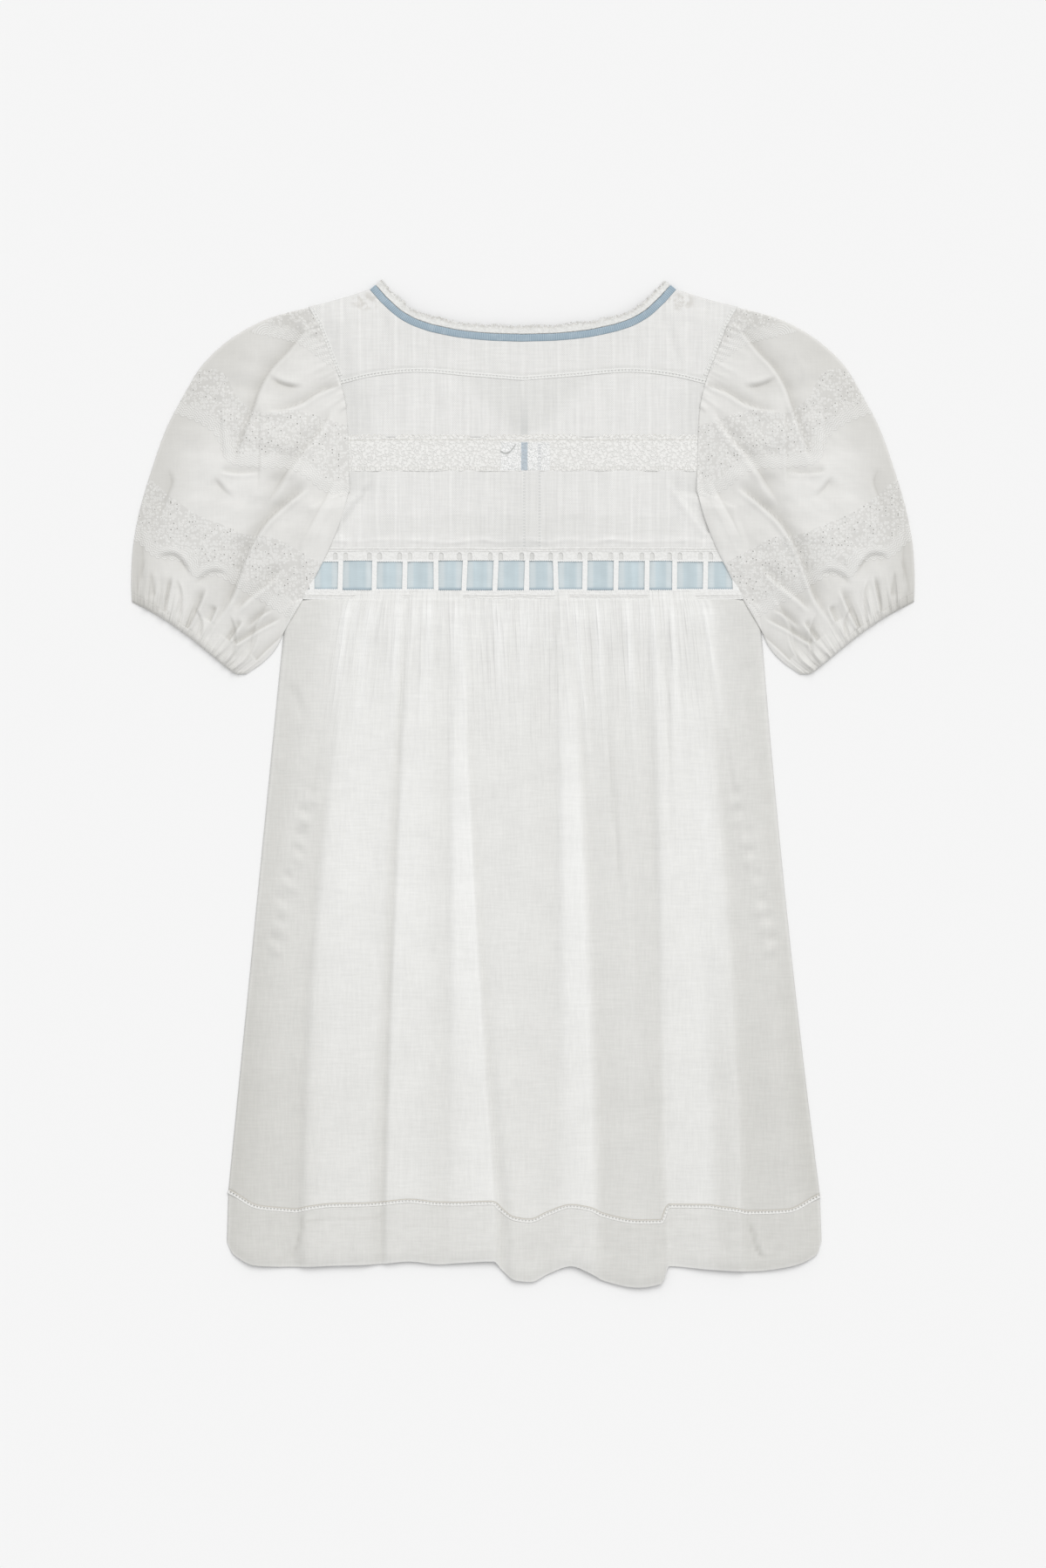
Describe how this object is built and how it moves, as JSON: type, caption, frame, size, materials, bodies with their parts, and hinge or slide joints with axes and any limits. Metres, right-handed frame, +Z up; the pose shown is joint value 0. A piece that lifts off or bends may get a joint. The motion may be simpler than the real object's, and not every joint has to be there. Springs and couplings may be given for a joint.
{
  "type": "puff-sleeve babydoll dress laid flat",
  "caption": "Empire-line cotton dress laid flat with its back up: puff sleeves, ladder-trimmed yoke, lace insertion, ribbon beading band and a gathered skirt with a deep hem.",
  "frame": {"origin": "middle of the outline, on the surface that the dress lies on", "axes": "+Y from hem to neck, +Z up from the surface, +X towards the wearer's right"},
  "size_m": [0.6696, 0.8619, 0.0162],
  "materials": {
    "cotton": "thin woven cotton with a fine rib, matt",
    "sleeve_cotton": "plain cotton lawn with bands of eyelet embroidery, matt",
    "lace": "cotton lace and ladder trim, matt",
    "ribbon": "pale blue satin ribbon, soft sheen",
    "binding": "mid blue narrow woven binding, matt"
  },
  "bodies": {
    "root": {"back_yoke": "cotton", "back_upper_panel": "cotton", "back_lower_panel": "cotton", "back_skirt": "cotton", "back_hem_band": "cotton", "front_bodice_left": "cotton", "front_bodice_right": "cotton", "front_placket_left": "cotton", "front_placket_right": "cotton", "front_skirt": "cotton", "front_hem_band": "cotton", "sleeve_left": "sleeve_cotton", "sleeve_right": "sleeve_cotton", "cuff_left": "sleeve_cotton", "cuff_right": "sleeve_cotton", "back_armhole_trim_left": "lace", "back_armhole_trim_right": "lace", "back_yoke_trim": "lace", "back_lace_insertion": "lace", "back_beading": "lace", "back_hem_trim": "lace", "back_neck_edging": "lace", "front_beading": "lace", "front_hem_trim": "lace", "back_ribbon": "ribbon", "front_ribbon": "ribbon", "back_neck_binding": "binding", "front_neck_binding_left": "binding", "front_neck_binding_right": "binding", "front_placket_binding": "binding"}
  },
  "joints": []
}
